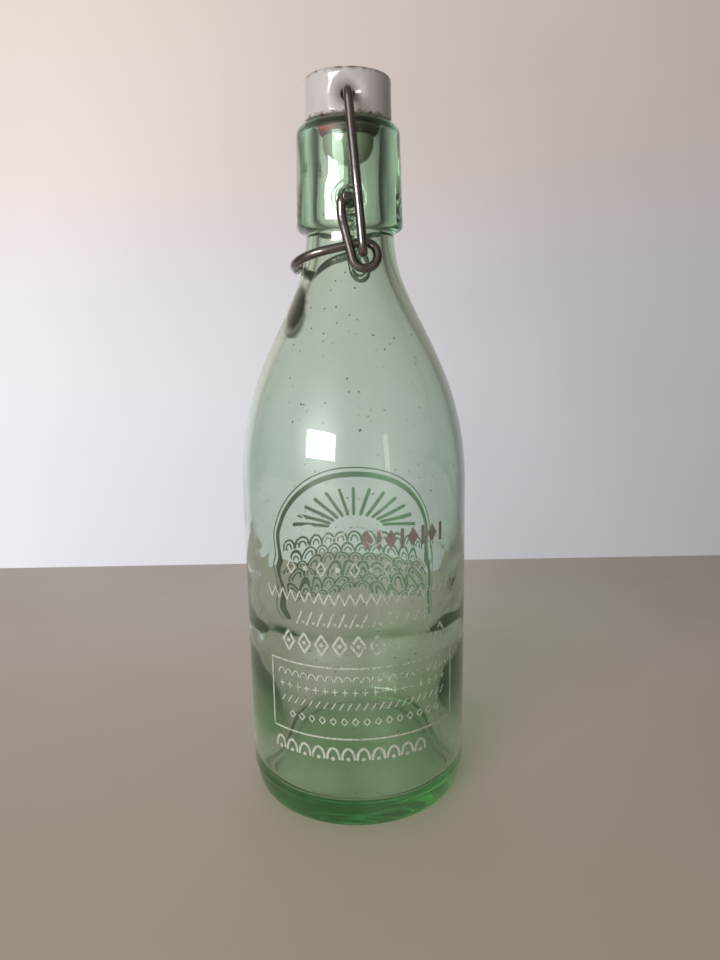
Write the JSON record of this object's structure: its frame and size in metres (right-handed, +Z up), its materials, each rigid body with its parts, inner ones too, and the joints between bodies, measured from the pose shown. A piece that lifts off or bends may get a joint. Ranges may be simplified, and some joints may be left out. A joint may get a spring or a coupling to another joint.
{
  "type": "swing-top bottle",
  "caption": "Small pale green glass bottle with sloping shoulders, a thick collar and a porcelain stopper held by a two-wire swing closure.",
  "frame": {"origin": "centre of the bottle's foot, on the surface it stands on", "axes": "+Z up the bottle's axis, the closure's sockets on the Y axis, the handle on the -X side"},
  "size_m": [0.068, 0.068, 0.2118],
  "materials": {
    "pale_green_glass": "clear pale green blown glass",
    "white_porcelain": "white glazed porcelain",
    "red_rubber": "matt red rubber, aged",
    "bail_steel": "dulled spring wire",
    "lever_steel": "dulled spring wire"
  },
  "bodies": {
    "bottle": {"glass_bottle": "pale_green_glass"},
    "lever": {"lever_wire": "lever_steel"},
    "bail": {"bail_wire": "bail_steel"},
    "stopper_head": {"stopper": "white_porcelain", "sealing_washer": "red_rubber"}
  },
  "joints": [
    {"name": "lever_pivot", "type": "hinge", "parent": "bottle", "child": "lever", "pos_m": [0, 0, 0.1774], "axis": [0, 1, 0], "range_deg": [0, 90]},
    {"name": "bail_pivot", "type": "hinge", "parent": "lever", "child": "bail", "pos_m": [0.0035, 0, 0.16279], "axis": [0, 1, 0], "range_deg": [-59.4, 0]},
    {"name": "stopper_pivot", "type": "hinge", "parent": "bail", "child": "stopper_head", "pos_m": [0, 0, 0.2044], "axis": [0, 1, 0], "range_deg": [-26.55, 0]}
  ],
  "couplings": [
    {"joint": "bail_pivot", "follows": "lever_pivot", "ratio": -0.66},
    {"joint": "stopper_pivot", "follows": "lever_pivot", "ratio": -0.295}
  ]
}
